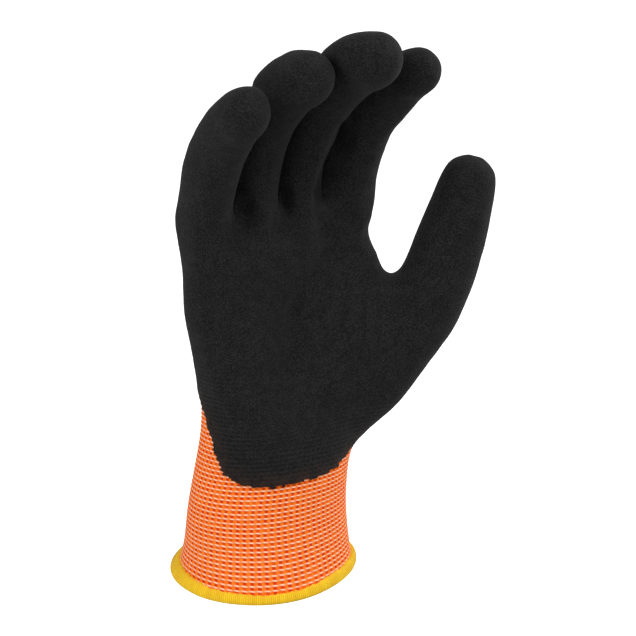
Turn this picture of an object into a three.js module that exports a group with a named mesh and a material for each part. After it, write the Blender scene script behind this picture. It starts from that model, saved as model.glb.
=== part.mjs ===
// A cut-resistant work glove for the right hand, size 9: a seamless knitted liner, a nitrile coating
// dipped over its palm, fingers and knuckles, and an overlocked hem round the cuff's edge.
// Millimetres. The origin is the centre of the cuff's opening, +Z runs up the hand to the fingertips,
// -Y is the palm side and +X is the thumb side. The fingers are curled as on a relaxed hand.
import * as THREE from "three";

// Driving dimensions
const LINER_WALL = 1.2; // knitted wall
const BOND_GAP = 0.3; // between the liner and the coating, and between the liner and the hem
const COATING_WALL = 0.8; // nitrile skin
const HEM_HEIGHT = 3.1; // of the hem above the liner's edge
const HEM_FOOT = 0.9; // thread below the liner's edge
const HEM_OUT = 2.3; // how far the hem stands out from the liner's outside
const HEM_IN = 1.2; // and in from its inside
const CROTCH_RISE = 2; // of the webs between the fingers above the fingers' roots
const WEB_RISE = 5; // of the thumb's web above its root
const GROOVE_FILL = 2; // how far the grooves below the fingers' webs are filled out

// The hand's sections from the cuff's edge to the knuckles, without the thumb. littleSide and
// thumbSide are the reach along X, palm and back the depth each side of the middle line, mid the
// middle line's Y, and full how square the section is (2 is an ellipse).
const SECTIONS = [
  { z: 0, littleSide: 37.2, thumbSide: 39.2, palm: 36.4, back: 36.4, mid: 0, full: 2.0 },
  { z: 12, littleSide: 34.8, thumbSide: 38.4, palm: 31.5, back: 31.5, mid: 0, full: 2.0 },
  { z: 28, littleSide: 33.7, thumbSide: 38.0, palm: 27.5, back: 27.5, mid: 0, full: 2.0 },
  { z: 42, littleSide: 31.3, thumbSide: 39.0, palm: 25.5, back: 25.0, mid: 0, full: 2.05 },
  { z: 56, littleSide: 28.6, thumbSide: 39.7, palm: 23.5, back: 22.0, mid: 0, full: 2.15 },
  { z: 70, littleSide: 27.0, thumbSide: 39.5, palm: 21.5, back: 19.0, mid: 0, full: 2.25 },
  { z: 84, littleSide: 28.0, thumbSide: 39.5, palm: 19.5, back: 16.5, mid: 0, full: 2.35 },
  { z: 98, littleSide: 30.5, thumbSide: 42.5, palm: 17.5, back: 14.5, mid: 0, full: 2.45 },
  { z: 112, littleSide: 33.5, thumbSide: 45.0, palm: 15.5, back: 13.5, mid: 0, full: 2.5 },
  { z: 126, littleSide: 36.0, thumbSide: 47.0, palm: 14.5, back: 13.0, mid: -1, full: 2.5 },
  { z: 142, littleSide: 38.0, thumbSide: 49.0, palm: 13.5, back: 12.5, mid: -2, full: 2.5 },
  { z: 160, littleSide: 39.0, thumbSide: 50.5, palm: 13.0, back: 12.0, mid: -3, full: 2.5 },
];

// Soft swellings and hollows of the filled glove, pushed out along Y from the side named.
const SWELLINGS = [
  { name: "thumb ball", side: "palm", x: 34, z: 82, reachX: 20, reachZ: 24, rise: 6 },
  { name: "little finger's heel", side: "palm", x: -20, z: 74, reachX: 16, reachZ: 26, rise: 3 },
  { name: "hollow of the palm", side: "palm", x: 6, z: 108, reachX: 17, reachZ: 26, rise: -4 },
  { name: "pads under the fingers", side: "palm", x: -2, z: 141, reachX: 34, reachZ: 11, rise: 2 },
  { name: "knuckles", side: "back", x: 0, z: 141, reachX: 36, reachZ: 18, rise: 1.6 },
];

// The line of the cuff's edge, which slants up from the palm side to the back, as a height at each
// bearing round the hand: 180 is the little finger's side, 270 the palm, 0 the thumb's side and 90
// the back.
const CUFF_LINE = [
  { bearing: 0, z: 3.9 },
  { bearing: 56, z: 4.1 },
  { bearing: 110, z: 3.0 },
  { bearing: 146, z: 1.5 },
  { bearing: 172, z: 0 },
  { bearing: 201, z: -1.5 },
  { bearing: 236, z: -1.8 },
  { bearing: 260, z: -1.0 },
  { bearing: 295, z: 1.6 },
  { bearing: 326, z: 3.3 },
];

// The line that the dip leaves, as a height at each bearing.
const DIP_LINE = [
  { bearing: 0, z: 67 },
  { bearing: 30, z: 78 },
  { bearing: 60, z: 87 },
  { bearing: 90, z: 92 },
  { bearing: 120, z: 90 },
  { bearing: 146, z: 85 },
  { bearing: 163, z: 80 },
  { bearing: 173, z: 75.5 },
  { bearing: 182, z: 69.3 },
  { bearing: 193, z: 58.6 },
  { bearing: 203, z: 51.2 },
  { bearing: 215, z: 47.5 },
  { bearing: 240, z: 44.9 },
  { bearing: 264, z: 44.5 },
  { bearing: 283, z: 45.3 },
  { bearing: 300, z: 46.7 },
  { bearing: 326, z: 55.5 },
];

// The four fingers from the little finger to the index. x, y and z are the root's centre, lean the
// sideways angle, and bend1 to bend3 how far the three bones lean over towards the palm from
// upright. wide and deep are half sizes at the root, middle joint and tip.
const FINGERS = [
  {
    name: "little", x: -29.9, y: -3, z: 155, lean: -2.5,
    bone1: 28, bone2: 20, bone3: 14, bend1: 24, bend2: 42, bend3: 56,
    wide1: 9.4, wide2: 10.0, wide3: 9.2, deep1: 11.5, deep2: 11.0, deep3: 9.2,
  },
  {
    name: "ring", x: -8.5, y: -3, z: 157, lean: 3.5,
    bone1: 34, bone2: 24, bone3: 14.5, bend1: 14, bend2: 42, bend3: 62,
    wide1: 8.9, wide2: 9.9, wide3: 9.8, deep1: 12.0, deep2: 11.0, deep3: 10.0,
  },
  {
    name: "middle", x: 13.0, y: -3, z: 159, lean: 5.5,
    bone1: 39.5, bone2: 27, bone3: 16, bend1: 19, bend2: 47, bend3: 66,
    wide1: 9.5, wide2: 10.2, wide3: 10.2, deep1: 12.4, deep2: 11.2, deep3: 10.2,
  },
  {
    name: "index", x: 37.6, y: -3, z: 159, lean: 8.5,
    bone1: 33.5, bone2: 22.5, bone3: 14.5, bend1: 18, bend2: 44, bend3: 62,
    wide1: 12.0, wide2: 11.0, wide3: 8.6, deep1: 12.2, deep2: 11.0, deep3: 8.6,
  },
];

// The thumb's stations from the wrist to the centre of its rounded tip. It leaves the palm at the
// fourth station.
const THUMB = [
  { x: 12, y: -2, z: 28, wide: 24.0, deep: 18.0 },
  { x: 29.5, y: -6, z: 60, wide: 18.5, deep: 14.0 },
  { x: 48, y: -15, z: 87, wide: 17.0, deep: 14.0 },
  { x: 66, y: -24, z: 112, wide: 15.0, deep: 13.6 },
  { x: 70, y: -26, z: 123, wide: 13.8, deep: 13.0 },
  { x: 73.5, y: -27.5, z: 134, wide: 13.0, deep: 12.4 },
  { x: 77, y: -29, z: 145, wide: 12.4, deep: 11.8 },
  { x: 80, y: -30.5, z: 155, wide: 11.6, deep: 11.0 },
  { x: 82, y: -31.5, z: 163, wide: 10.6, deep: 9.8 },
];
const THUMB_ROOT = 3; // station where it leaves the palm
const THUMB_TURN = -30; // its outer side's bearing, from the thumb side towards the palm

// Mesh counts
const FINGER_COLUMNS = 4; // columns of the palm under each finger, and on each side of the thumb
const ROWS_TO_DIP = 6;
const ROWS_TO_THUMB = 7;
const ROWS_TO_KNUCKLES = 5;
const FINGER_RINGS = 8;

const radians = THREE.MathUtils.degToRad;
const lerp = THREE.MathUtils.lerp;
const smooth = THREE.MathUtils.smoothstep;
const clamp = THREE.MathUtils.clamp;

// A named column of a table read at a place between its rows, on a smooth curve.
function readTable(rows, key, place, column) {
  const last = rows.length - 1;
  if (place <= rows[0][key]) return rows[0][column];
  if (place >= rows[last][key]) return rows[last][column];
  const i = rows.findIndex((row) => row[key] > place) - 1;
  const at = (n) => rows[clamp(n, 0, last)];
  const slope = (n) => (at(n + 1)[column] - at(n - 1)[column]) / (at(n + 1)[key] - at(n - 1)[key]);
  const span = rows[i + 1][key] - rows[i][key];
  const t = (place - rows[i][key]) / span;
  const t2 = t * t;
  const t3 = t2 * t;
  return (
    (2 * t3 - 3 * t2 + 1) * rows[i][column] +
    (t3 - 2 * t2 + t) * span * slope(i) +
    (-2 * t3 + 3 * t2) * rows[i + 1][column] +
    (t3 - t2) * span * slope(i + 1)
  );
}

// The height of a line round the hand at a bearing.
function lineHeight(line, bearing) {
  const rows = [
    { ...line.at(-1), bearing: line.at(-1).bearing - 360 },
    ...line,
    ...line.slice(0, 2).map((row) => ({ ...row, bearing: row.bearing + 360 })),
  ];
  return readTable(rows, "bearing", bearing % 360, "z");
}

// The columns of the hand's rings: from the little finger's side across the palm to the thumb's
// side, and back across the back of the hand. The last few on each side run up the thumb.
const FINGER_STEPS = FINGER_COLUMNS * FINGERS.length;
const STEPS = FINGER_STEPS + FINGER_COLUMNS;
const columns = [{ side: "little", step: 0, bearing: 180 }];
for (let j = 0; j <= STEPS; j++)
  columns.push({ side: "palm", step: j, bearing: 190 + (160 * j) / STEPS });
columns.push({ side: "thumb", step: STEPS, bearing: 360 });
for (let j = STEPS; j >= 0; j--)
  columns.push({ side: "back", step: j, bearing: 170 - (160 * j) / STEPS });
const find = (side, step) => columns.findIndex((c) => c.side === side && c.step === step);

// Each finger's bones as a smooth centre line that starts upright inside the palm, and its frame at
// a place along it counted in bones.
const fingerLines = FINGERS.map((finger) => {
  const lean = radians(finger.lean);
  const joints = [new THREE.Vector3(finger.x, finger.y, finger.z)];
  for (const n of [1, 2, 3]) {
    const bend = radians(finger["bend" + n]);
    const way = new THREE.Vector3(
      Math.sin(lean), -Math.sin(bend) * Math.cos(lean), Math.cos(bend) * Math.cos(lean),
    );
    joints.push(joints.at(-1).clone().addScaledVector(way, finger["bone" + n]));
  }
  const below = new THREE.Vector3(finger.x, finger.y, finger.z - finger.bone1 / 2);
  return new THREE.CatmullRomCurve3([below, ...joints], false, "centripetal");
});
function fingerFrame(k, bone) {
  const finger = FINGERS[k];
  const sizes = [
    { bone: 0, wide: finger.wide1, deep: finger.deep1 },
    { bone: 1, wide: finger.wide2, deep: finger.deep2 },
    { bone: 3, wide: finger.wide3, deep: finger.deep3 },
  ];
  const along = fingerLines[k].getTangent((bone + 1) / 4);
  const across = new THREE.Vector3(1, 0, 0).addScaledVector(along, -along.x).normalize();
  return {
    centre: fingerLines[k].getPoint((bone + 1) / 4),
    along,
    across,
    front: new THREE.Vector3().crossVectors(along, across),
    wide: readTable(sizes, "bone", bone, "wide"),
    deep: readTable(sizes, "bone", bone, "deep"),
  };
}
function ellipsePoint({ centre, across, front, wide, deep }, bearing, shrink = 1) {
  return centre
    .clone()
    .addScaledVector(across, wide * shrink * Math.cos(radians(bearing)))
    .addScaledVector(front, deep * shrink * Math.sin(radians(bearing)));
}

// Where a column meets the fingers' roots. A column between two fingers takes their mean, filled
// out a little.
const turnStep = 180 / (FINGER_COLUMNS + 2);
function rootPoint({ side, step }) {
  if (side === "little") return ellipsePoint(fingerFrame(0, 0), 180);
  if (side === "thumb") return ellipsePoint(fingerFrame(FINGERS.length - 1, 0), 0);
  const on = (k) => {
    const bearing = (step - k * FINGER_COLUMNS + 1) * turnStep - 180;
    return ellipsePoint(fingerFrame(k, 0), side === "palm" ? bearing : -bearing);
  };
  const k = Math.floor(step / FINGER_COLUMNS);
  if (step % FINGER_COLUMNS > 0) return on(k);
  const groove = on(Math.max(k - 1, 0)).lerp(on(Math.min(k, FINGERS.length - 1)), 0.5);
  groove.y += side === "palm" ? -GROOVE_FILL : GROOVE_FILL;
  return groove;
}
const ROOT_LEFT = rootPoint({ side: "little" }).x;
const ROOT_RIGHT = rootPoint({ side: "thumb" }).x;

function swelling(side, x, z) {
  return SWELLINGS.filter((s) => s.side === side).reduce(
    (sum, s) =>
      sum + s.rise * Math.exp(-(((x - s.x) / s.reachX) ** 2) - ((z - s.z) / s.reachZ) ** 2),
    0,
  );
}

// A point of the hand's surface, thumb left out, in one column at one height.
function handPoint({ side, step, bearing }, z) {
  const read = (name) => readTable(SECTIONS, "z", z, name);
  const left = -read("littleSide");
  const right = read("thumbSide");
  const centre = (left + right) / 2;
  const half = (right - left) / 2;
  if (side === "little") return new THREE.Vector3(left, read("mid"), z);
  if (side === "thumb") return new THREE.Vector3(right, read("mid"), z);
  const spread = smooth(z, 45, 125);
  const root = rootPoint({ side, step: Math.min(step, FINGER_STEPS) });
  const fan = (2 * root.x - ROOT_LEFT - ROOT_RIGHT) / (ROOT_RIGHT - ROOT_LEFT);
  const across = lerp(Math.cos(radians(bearing)), step > FINGER_STEPS ? 0.97 : fan, spread);
  const x = centre + half * across;
  const depth = (1 - Math.abs(across) ** read("full")) ** (1 / read("full"));
  const out = depth * read(side) + swelling(side, x, z) * Math.min(1, depth * 2);
  return new THREE.Vector3(x, read("mid") + (side === "palm" ? -out : out), z);
}

// A point of the thumb: `place` counts its stations, and `bearing` is 0 on its outer side, 90 on
// its back, 180 on its web side and 270 on its palm side.
const thumbLine = new THREE.CatmullRomCurve3(
  THUMB.map((s) => new THREE.Vector3(s.x, s.y, s.z)), false, "centripetal",
);
const thumbStations = THUMB.map((station, n) => ({ ...station, n }));
function thumbFrame(place) {
  const share = place / (THUMB.length - 1);
  const turn = radians(THUMB_TURN);
  const along = thumbLine.getTangent(share);
  const across = new THREE.Vector3(Math.cos(turn), Math.sin(turn), 0);
  across.addScaledVector(along, -across.dot(along)).normalize();
  return {
    centre: thumbLine.getPoint(share),
    along,
    across,
    front: new THREE.Vector3().crossVectors(along, across),
    wide: readTable(thumbStations, "n", place, "wide"),
    deep: readTable(thumbStations, "n", place, "deep"),
  };
}
// The bearing on the thumb of a column that runs up it. Low on the hand the columns keep to its
// outer side, and higher they spread right round it.
function thumbBearing({ side, step }, place) {
  if (side === "thumb") return 0;
  const spread = lerp(0.3, 1, smooth(place / THUMB_ROOT, 0, 1));
  const from = (STEPS - step + 1) * turnStep * spread;
  return side === "palm" ? -from : from;
}

// A point of the hand below the thumb's root: the thumb's columns leave the hand and gather round
// the thumb, and the columns beside them follow part of the way.
const SPLIT_ROW = ROWS_TO_DIP + ROWS_TO_THUMB;
const SPLIT_HEIGHT = [
  { bearing: 0, z: 112 },
  { bearing: 60, z: 122 },
  { bearing: 90, z: 127 },
  { bearing: 140, z: 124 },
  { bearing: 190, z: 116 },
  { bearing: 260, z: 113 },
  { bearing: 320, z: 115 },
  { bearing: 360, z: 112 },
];
function lowerPoint(column, row) {
  const edge = lineHeight(CUFF_LINE, column.bearing);
  const dip = lineHeight(DIP_LINE, column.bearing);
  const top = readTable(SPLIT_HEIGHT, "bearing", column.bearing % 360, "z");
  const z =
    row <= ROWS_TO_DIP
      ? lerp(edge, dip, row / ROWS_TO_DIP)
      : lerp(dip, top, (row - ROWS_TO_DIP) / ROWS_TO_THUMB);
  const point = handPoint(column, z);
  const pull = smooth(z, 34, 84);
  const place = readTable(thumbStations, "z", (z * THUMB[THUMB_ROOT].z) / top, "n");
  const frame = thumbFrame(place);
  const onThumb = (c) => ellipsePoint(frame, thumbBearing(c, place));
  if (column.step >= FINGER_STEPS) return point.lerp(onThumb(column), pull);
  if (column.side === "little") return point;
  const away = (FINGER_STEPS - column.step) / FINGER_STEPS;
  const side = { ...column, step: FINGER_STEPS };
  const shift = onThumb(side).sub(handPoint(side, z));
  return point.addScaledVector(shift, pull * (1 - smooth(away, -0.15, 0.6)) ** 1.5);
}

// The glove's skin: one mesh of four-sided faces on the outside of the liner.
// A point's slack is how far it gives way when the skin is drawn taut.
const points = [];
const slack = [];
const faces = [];
const addPoint = (p, give = 0) => {
  slack.push(give);
  return points.push(p) - 1;
};
const addFace = (a, b, c, d, coated = true) => faces.push({ corners: [a, b, c, d], coated });

// Joins two rings of the same length, in the same order, with a band of faces.
function addBand(low, high, coated = true) {
  for (let j = 0; j < low.length; j++) {
    const n = (j + 1) % low.length;
    addFace(low[j], low[n], high[n], high[j], coated);
  }
}

// Cuff, palm and back up to the thumb's root. The skin gives way where the thumb's ball meets the
// palm and the back.
const cuffRings = [columns.map((column) => addPoint(lowerPoint(column, 0)))];
let ring = cuffRings[0];
for (let row = 1; row <= SPLIT_ROW; row++) {
  const next = columns.map((column) => {
    const seam = column.bearing === 180 ? 0 : 1 - Math.abs(column.step - FINGER_STEPS + 1.5) / 6;
    const above = smooth(row, ROWS_TO_DIP - 2, ROWS_TO_DIP + 1) * (row < SPLIT_ROW ? 1 : 0.5);
    return addPoint(lowerPoint(column, row), clamp(seam * 1.5, 0, 1) * above);
  });
  addBand(ring, next, row > ROWS_TO_DIP);
  cuffRings.push(next);
  ring = next;
}

// There the ring parts into the thumb's ring and the palm's, which share the web's point.
const midPoint = (a, b, rise) => {
  const p = points[a].clone().lerp(points[b], 0.5);
  p.z += rise;
  return addPoint(p);
};
const webFront = ring[find("palm", FINGER_STEPS)];
const webBack = ring[find("back", FINGER_STEPS)];
const web = addPoint(ellipsePoint(thumbFrame(THUMB_ROOT), 180));
points[web].z += WEB_RISE;
const upperColumns = [
  ...columns.filter((c) => c.side === "little" || (c.side === "palm" && c.step <= FINGER_STEPS)),
  { side: "thumb", step: FINGER_STEPS, bearing: 360 },
  ...columns.filter((c) => c.side === "back" && c.step <= FINGER_STEPS),
];
let palmRing = upperColumns.map((c) => (c.side === "thumb" ? web : ring[find(c.side, c.step)]));
const thumbRing = [
  ...ring.slice(find("palm", FINGER_STEPS), find("back", FINGER_STEPS) + 1),
  web,
];

// Palm and back from there to the fingers' roots
const parting = palmRing.map((i) => points[i]);
for (let row = 1; row <= ROWS_TO_KNUCKLES; row++) {
  const share = row / ROWS_TO_KNUCKLES;
  const next = upperColumns.map((column, j) => {
    const root = rootPoint(column);
    const point = handPoint(column, lerp(parting[j].z, root.z, share));
    const below = parting[j].clone().sub(handPoint(column, parting[j].z));
    point.addScaledVector(below, (1 - share) ** 3);
    const arrive = smooth(share, 0.4, 1);
    point.x = lerp(point.x, root.x, arrive);
    point.y = lerp(point.y, root.y, arrive);
    const byWeb = smooth(column.step, 10, FINGER_STEPS) * (1 - share);
    return addPoint(point, byWeb);
  });
  addBand(palmRing, next);
  palmRing = next;
}

// A rounded end on a ring of `bearings`: two shrinking rings, then a patch of faces whose front
// and back sides have `span` faces and whose other two sides have two.
function closeEnd(ring, frame, bearings, span) {
  const reach = (frame.wide + frame.deep) / 2;
  let last = ring;
  for (const turn of [38, 64]) {
    const centre = frame.centre.clone();
    centre.addScaledVector(frame.along, reach * Math.sin(radians(turn)));
    const next = bearings.map((bearing) =>
      addPoint(ellipsePoint({ ...frame, centre }, bearing, Math.cos(radians(turn)))),
    );
    addBand(last, next);
    last = next;
  }
  const front = last.slice(0, span + 1);
  const back = last.slice(span + 2, 2 * span + 3).reverse();
  const middle = [last.at(-1)];
  for (let m = 1; m < span; m++) {
    const p = points[last.at(-1)].clone().lerp(points[last[span + 1]], m / span);
    middle.push(addPoint(p.addScaledVector(frame.along, reach * 0.1)));
  }
  middle.push(last[span + 1]);
  for (let m = 0; m < span; m++) {
    addFace(front[m], front[m + 1], middle[m + 1], middle[m]);
    addFace(middle[m], middle[m + 1], back[m + 1], back[m]);
  }
}

// Grows a finger or the thumb from its root ring through `count` rings.
function grow(root, count, frameAt) {
  const bearings = root.map((_, j) => (j + 1) * turnStep - 180);
  let last = root;
  for (let n = 1; n <= count; n++) {
    const frame = frameAt(n);
    const next = bearings.map((bearing) => addPoint(ellipsePoint(frame, bearing)));
    addBand(last, next);
    last = next;
  }
  closeEnd(last, frameAt(count), bearings, FINGER_COLUMNS);
}

// Thumb
grow(thumbRing, THUMB.length - 1 - THUMB_ROOT, (n) => thumbFrame(THUMB_ROOT + n));

// Fingers. Each starts on the palm's last ring and shares a web with its neighbours.
const upper = (side, step) =>
  palmRing[upperColumns.findIndex((c) => c.side === side && c.step === step)];
const crotches = [upper("little", 0)];
for (let k = 1; k < FINGERS.length; k++) {
  const step = k * FINGER_COLUMNS;
  crotches.push(midPoint(upper("palm", step), upper("back", step), CROTCH_RISE));
}
crotches.push(upper("thumb", FINGER_STEPS));

FINGERS.forEach((finger, k) => {
  const steps = [0, 1, 2, 3, 4].map((m) => k * FINGER_COLUMNS + m);
  const root = [
    ...steps.map((step) => upper("palm", step)),
    crotches[k + 1],
    ...steps.reverse().map((step) => upper("back", step)),
    crotches[k],
  ];
  grow(root, FINGER_RINGS, (n) => fingerFrame(k, (3 * n) / FINGER_RINGS));
});

// The skin drawn taut: each slack point moves towards the middle of its neighbours.
const TAUT_PASSES = 8;
const neighbours = points.map(() => new Set());
for (const { corners } of faces)
  corners.forEach((i, n) => {
    neighbours[i].add(corners[(n + 1) % 4]);
    neighbours[i].add(corners[(n + 3) % 4]);
  });
for (let pass = 0; pass < TAUT_PASSES; pass++) {
  const moved = points.map((p, i) => {
    const mean = new THREE.Vector3();
    for (const n of neighbours[i]) mean.add(points[n]);
    return p.clone().lerp(mean.divideScalar(neighbours[i].size), slack[i] / 2);
  });
  moved.forEach((p, i) => points[i].copy(p));
}

// Each face parts into two triangles along its longer diagonal, from its first corner to its third.
for (const face of faces) {
  const [a, b, c, d] = face.corners;
  if (points[a].distanceTo(points[c]) < points[b].distanceTo(points[d]))
    face.corners = [b, c, d, a];
}

// The way out of the skin at each point. It is longer at a crease, up to this limit, so that a wall
// keeps its thickness there.
const CREASE_LIMIT = 2;
const outward = points.map(() => new THREE.Vector3());
const meeting = points.map(() => 0);
for (const { corners } of faces) {
  const [a, b, c, d] = corners.map((i) => points[i]);
  const across = new THREE.Vector3().subVectors(c, a);
  const normal = across.cross(new THREE.Vector3().subVectors(d, b)).normalize();
  for (const i of corners) {
    outward[i].add(normal);
    meeting[i] += 1;
  }
}
for (const i of cuffRings[0]) outward[i].z = 0; // the liner is cut off level at the cuff's edge
outward.forEach((way, i) => way.setLength(Math.min(CREASE_LIMIT, meeting[i] / way.length())));

function solid(vertices, triangles) {
  const geometry = new THREE.BufferGeometry();
  geometry.setAttribute("position", new THREE.Float32BufferAttribute(vertices, 3));
  geometry.setIndex(triangles);
  geometry.computeVertexNormals();
  return geometry;
}

// A closed wall between two offsets of some of the skin's faces, with a rim round its open edge.
function wall(inner, outer, chosen) {
  const used = new Map();
  const vertices = [];
  const place = (i, offset, layer) => {
    const key = i + layer * points.length;
    if (!used.has(key)) {
      used.set(key, vertices.length / 3);
      const p = points[i].clone().addScaledVector(outward[i], offset);
      vertices.push(p.x, p.y, p.z);
    }
    return used.get(key);
  };
  const triangles = [];
  const quad = (a, b, c, d) => triangles.push(a, b, c, a, c, d);
  const edges = new Map();
  for (const { corners } of chosen) {
    const [a, b, c, d] = corners;
    quad(...corners.map((i) => place(i, outer, 1)));
    quad(...[c, b, a, d].map((i) => place(i, inner, 0)));
    corners.forEach((i, n) => {
      const next = corners[(n + 1) % 4];
      if (!edges.delete(next + "-" + i)) edges.set(i + "-" + next, [i, next]);
    });
  }
  for (const [i, next] of edges.values())
    quad(place(next, outer, 1), place(i, outer, 1), place(i, inner, 0), place(next, inner, 0));
  return solid(vertices, triangles);
}

// The hem: thread overlocked over the cuff's edge, a channel that the liner's edge sits in. Each
// profile point is a height and a distance out from the liner's outside, which it follows upwards.
function hem() {
  const inside = -LINER_WALL;
  const profile = [
    { z: HEM_HEIGHT, out: BOND_GAP },
    { z: -BOND_GAP, out: BOND_GAP },
    { z: -BOND_GAP, out: inside - BOND_GAP },
    { z: HEM_HEIGHT, out: inside - BOND_GAP },
    { z: HEM_HEIGHT * 0.9, out: inside - HEM_IN * 0.7 },
    { z: HEM_HEIGHT * 0.45, out: inside - HEM_IN },
    { z: -HEM_FOOT * 0.3, out: inside - HEM_IN * 0.6 },
    { z: -HEM_FOOT, out: inside / 2 },
    { z: -HEM_FOOT * 0.7, out: HEM_OUT * 0.3 },
    { z: HEM_HEIGHT * 0.15, out: HEM_OUT * 0.75 },
    { z: HEM_HEIGHT * 0.6, out: HEM_OUT },
    { z: HEM_HEIGHT * 0.95, out: HEM_OUT * 0.6 },
  ];
  const [edge, above] = cuffRings;
  const vertices = [];
  for (let j = 0; j < edge.length; j++) {
    const low = points[edge[j]];
    const high = points[above[j]];
    for (const { z, out } of profile) {
      const p = low.clone().lerp(high, Math.max(z, 0) / (high.z - low.z));
      p.addScaledVector(outward[edge[j]], out);
      vertices.push(p.x, p.y, low.z + z);
    }
  }
  const triangles = [];
  const size = profile.length;
  for (let j = 0; j < edge.length; j++)
    for (let n = 0; n < size; n++) {
      const here = j * size;
      const next = ((j + 1) % edge.length) * size;
      const a = here + n;
      const b = next + n;
      const c = next + ((n + 1) % size);
      const d = here + ((n + 1) % size);
      triangles.push(a, b, c, a, c, d);
    }
  return solid(vertices, triangles);
}

function piece(name, geometry, color, roughness) {
  const material = new THREE.MeshStandardMaterial({ color, roughness, metalness: 0 });
  const mesh = new THREE.Mesh(geometry, material);
  mesh.name = name;
  return mesh;
}

const coated = faces.filter((face) => face.coated);
const glove = new THREE.Group();
glove.name = "work_glove";
glove.add(
  piece("knit_liner", wall(-LINER_WALL, 0, faces), 0xf07428, 0.9),
  piece("nitrile_coating", wall(BOND_GAP, BOND_GAP + COATING_WALL, coated), 0x26272a, 0.85),
  piece("cuff_hem", hem(), 0xf2c81e, 0.9),
);

export default glove;
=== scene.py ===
"""A cut-resistant work glove for the right hand: an orange knitted liner, a dark sandy nitrile dip
and a yellow overlocked hem. Laid out as an add-on and run as a script. Lengths are in metres."""

import functools
import math
from bisect import bisect_right

import bmesh
import bpy
from mathutils import Matrix, Vector, geometry, noise
from mathutils.bvhtree import BVHTree
from mathutils.kdtree import KDTree


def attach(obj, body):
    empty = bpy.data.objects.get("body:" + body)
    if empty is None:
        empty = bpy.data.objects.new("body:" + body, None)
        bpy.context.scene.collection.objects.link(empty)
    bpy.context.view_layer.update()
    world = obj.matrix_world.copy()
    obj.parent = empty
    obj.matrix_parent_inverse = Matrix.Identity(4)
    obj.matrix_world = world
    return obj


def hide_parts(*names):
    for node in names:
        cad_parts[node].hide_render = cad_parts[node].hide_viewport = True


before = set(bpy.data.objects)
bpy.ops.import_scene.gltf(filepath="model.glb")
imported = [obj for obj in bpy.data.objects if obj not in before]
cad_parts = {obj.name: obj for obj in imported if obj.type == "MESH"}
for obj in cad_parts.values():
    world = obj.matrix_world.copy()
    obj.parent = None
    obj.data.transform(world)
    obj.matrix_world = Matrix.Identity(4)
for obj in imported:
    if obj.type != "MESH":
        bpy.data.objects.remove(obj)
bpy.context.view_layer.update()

bl_info = {
    "name": "Knitted Work Glove",
    "version": (1, 0, 0),
    "blender": (4, 5, 0),
    "location": "View3D > Sidebar > Glove",
    "description": "Makes a nitrile-dipped knitted work glove piece by piece",
    "category": "Mesh",
}

BODY = "root"
MM = 0.001
CUFF_AXIS = Vector((0.0025, 0, 0))  # the cuff's middle line, from which its rings are measured
CORNER_MERGE = 2e-6  # corners of the CAD mesh this near each other are one
SEAM_MERGE = 20e-6  # the same for the two sides of the knit's seam
HEM_MERGE = 8e-6  # and for the hem, whose rows lie closer


# The CAD cage and the smooth surfaces made from it


def quad_cage(node):
    """The node's mesh with its corners merged and each pair of triangles made one quad again."""
    cage = bmesh.new()
    cage.from_mesh(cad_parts[node].data)
    bmesh.ops.remove_doubles(cage, verts=cage.verts, dist=CORNER_MERGE)
    longest = {face: max(face.edges, key=lambda e: e.calc_length()) for face in cage.faces}
    diagonals = {
        edge
        for edge in longest.values()
        if len(edge.link_faces) == 2 and all(longest[face] == edge for face in edge.link_faces)
    }
    bmesh.ops.dissolve_edges(cage, edges=[edge for edge in cage.edges if edge in diagonals])
    left = {face for face in cage.faces if len(face.verts) == 3}
    shortest = {min(face.edges, key=lambda e: e.calc_length()) for face in left}
    inside = {edge for face in left for edge in face.edges if left.issuperset(edge.link_faces)}
    flattest = []
    for edge in sorted(inside - shortest, key=lambda e: e.calc_face_angle()):
        if left.issuperset(edge.link_faces):
            left.difference_update(edge.link_faces)
            flattest.append(edge)
    bmesh.ops.dissolve_edges(cage, edges=flattest)
    if any(len(face.verts) != 4 for face in cage.faces):
        raise RuntimeError(f"{node} has a face that doesn't pair up into a quad")
    return cage


def rim_faces(cage, wall):
    """The faces that close a wall at its open edge: their short sides are the wall's thickness."""
    return [f for f in cage.faces if min(e.calc_length() for e in f.edges) < wall]


def outer_skin(cage, wall):
    """Takes the rim and the inner layer away, so that the wall's outside is left as an open skin."""
    bmesh.ops.delete(cage, geom=rim_faces(cage, wall), context="FACES")
    top = max(cage.verts, key=lambda v: v.co.z)
    kept, waiting = {top}, [top]
    while waiting:
        for edge in waiting.pop().link_edges:
            for vert in edge.verts:
                if vert not in kept:
                    kept.add(vert)
                    waiting.append(vert)
    bmesh.ops.delete(cage, geom=[v for v in cage.verts if v not in kept], context="VERTS")
    return cage


def limit_point(vert, creases):
    """Where a corner of the cage ends up once its surface is fully subdivided."""
    sharp = [e for e in vert.link_edges if e.is_boundary or e[creases] > 0.5]
    if len(sharp) == 2:
        return (4 * vert.co + sum((e.other_vert(vert).co for e in sharp), Vector())) / 6
    edges = sum((e.other_vert(vert).co for e in vert.link_edges), Vector())
    across = Vector()
    for face in vert.link_faces:
        near = {v for e in vert.link_edges for v in e.verts}
        across += next(v.co for v in face.verts if v not in near)
    n = len(vert.link_edges)
    return (n * n * vert.co + 4 * edges + across) / (n * (n + 5))


def fit(cage, rounds=3):
    """Moves the cage's corners until its smooth surface passes through where they were."""
    creases = cage.edges.layers.float.get("crease_edge")
    goals = {vert: vert.co.copy() for vert in cage.verts}
    for _ in range(rounds):
        limits = {vert: limit_point(vert, creases) for vert in cage.verts}
        for vert, limit in limits.items():
            vert.co += goals[vert] - limit


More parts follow.
